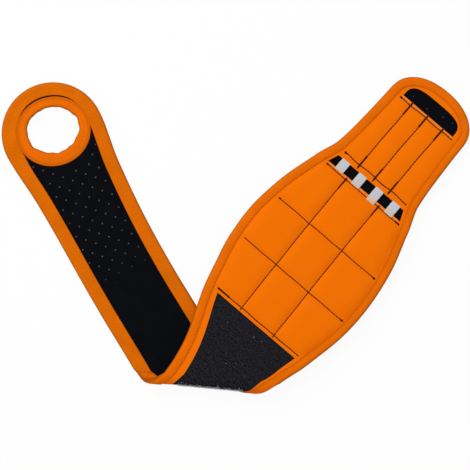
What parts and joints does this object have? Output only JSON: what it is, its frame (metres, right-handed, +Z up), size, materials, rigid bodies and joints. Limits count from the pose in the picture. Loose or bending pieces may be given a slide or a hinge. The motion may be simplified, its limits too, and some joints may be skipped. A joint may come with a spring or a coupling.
{
  "type": "magnetic wristband",
  "caption": "Bound neoprene tool wristband with a thumb hole, magnet compartments, tool sleeves and a hook-and-loop tongue, laid down folded once across.",
  "frame": {"origin": "on the surface that the band lies on, under the middle of its bounding box", "axes": "+X along the fold towards the tongue side, +Y from the fold towards the thumb eye and the tongue tip, +Z up"},
  "size_m": [0.302, 0.2134, 0.0138],
  "materials": {
    "neoprene": "matt black perforated neoprene lining",
    "loop_fabric": "charcoal brushed loop fastener fabric with a fine diagonal rib",
    "orange_fabric": "orange woven polyester cover, dark thread",
    "binding_tape": "orange knitted binding tape, sewn tone on tone",
    "elastic": "pale grey woven elastic",
    "hook_tape": "black hook fastener tape",
    "magnet_steel": "nickel-plated flat block magnets, sewn in and out of sight"
  },
  "bodies": {
    "strap": {"strap_base": "neoprene", "strap_loop_face": "loop_fabric", "strap_binding_left": "binding_tape", "strap_binding_right": "binding_tape"},
    "fold_strip": {"fold_base": "neoprene", "fold_loop_face": "loop_fabric", "fold_binding_left": "binding_tape", "fold_binding_right": "binding_tape"},
    "thumb_end": {"thumb_base": "neoprene", "thumb_loop_face": "loop_fabric", "thumb_edge_binding": "binding_tape", "thumb_hole_binding": "binding_tape"},
    "lower_panel": {"loop_patch": "loop_fabric", "loop_margin_left": "orange_fabric", "loop_margin_right": "orange_fabric", "lower_row_base": "neoprene", "lower_row_cover": "orange_fabric", "lower_row_binding_left": "binding_tape", "lower_row_binding_right": "binding_tape", "lower_row_magnet_right": "magnet_steel", "lower_row_magnet_centre": "magnet_steel", "lower_row_magnet_left": "magnet_steel"},
    "middle_row": {"middle_row_base": "neoprene", "middle_row_cover": "orange_fabric", "middle_row_binding_left": "binding_tape", "middle_row_binding_right": "binding_tape", "middle_row_magnet_right": "magnet_steel", "middle_row_magnet_centre": "magnet_steel", "middle_row_magnet_left": "magnet_steel"},
    "upper_row": {"upper_row_base": "neoprene", "upper_row_cover": "orange_fabric", "upper_row_binding_left": "binding_tape", "upper_row_binding_right": "binding_tape", "upper_row_magnet_right": "magnet_steel", "upper_row_magnet_centre": "magnet_steel", "upper_row_magnet_left": "magnet_steel", "keeper_tab_1": "elastic", "keeper_tab_2": "elastic", "keeper_tab_3": "elastic", "keeper_tab_4": "elastic"},
    "tongue": {"tongue_base": "neoprene", "tongue_sleeves": "orange_fabric", "tongue_binding_left": "binding_tape", "tongue_binding_right": "binding_tape"},
    "end_tab": {"tab_base": "neoprene", "tab_cover": "orange_fabric", "tab_binding": "binding_tape", "hook_pad": "hook_tape"}
  },
  "joints": [
    {"name": "fold_open", "type": "hinge", "parent": "strap", "child": "fold_strip", "pos_m": [-0.00903, -0.10332, 0.00344], "axis": [1, 0, 0], "range_deg": [0, 90], "deforming": ["fold_base", "fold_loop_face", "fold_binding_left", "fold_binding_right"]},
    {"name": "fold_turn", "type": "hinge", "parent": "fold_strip", "child": "lower_panel", "pos_m": [-0.00903, -0.10317, 0.01051], "axis": [1, 0, 0], "range_deg": [0, 90]},
    {"name": "lower_bend", "type": "hinge", "parent": "lower_panel", "child": "middle_row", "pos_m": [0.04462, -0.03014, 0.0059], "axis": [-0.8192, 0.573, -0.0247], "range_deg": [0, 60]},
    {"name": "upper_bend", "type": "hinge", "parent": "middle_row", "child": "upper_row", "pos_m": [0.06435, -0.00199, 0.00468], "axis": [-0.8192, 0.573, -0.0247], "range_deg": [0, 60]},
    {"name": "tongue_bend", "type": "hinge", "parent": "upper_row", "child": "tongue", "pos_m": [0.09084, 0.03582, 0.00305], "axis": [-0.8192, 0.573, -0.0247], "range_deg": [0, 60]},
    {"name": "tab_peel", "type": "hinge", "parent": "tongue", "child": "end_tab", "pos_m": [0.12125, 0.07941, 0.00608], "axis": [0.8192, -0.573, 0.0247], "range_deg": [0, 75]},
    {"name": "thumb_bend", "type": "hinge", "parent": "strap", "child": "thumb_end", "pos_m": [-0.09838, 0.02082, 0.0049], "axis": [0.8192, 0.5736, 0], "range_deg": [0, 70]}
  ],
  "couplings": [
    {"joint": "fold_turn", "follows": "fold_open", "ratio": 1},
    {"joint": "lower_bend", "follows": "fold_open", "ratio": 0.6666},
    {"joint": "upper_bend", "follows": "fold_open", "ratio": 0.6666},
    {"joint": "tongue_bend", "follows": "fold_open", "ratio": 0.6666}
  ]
}
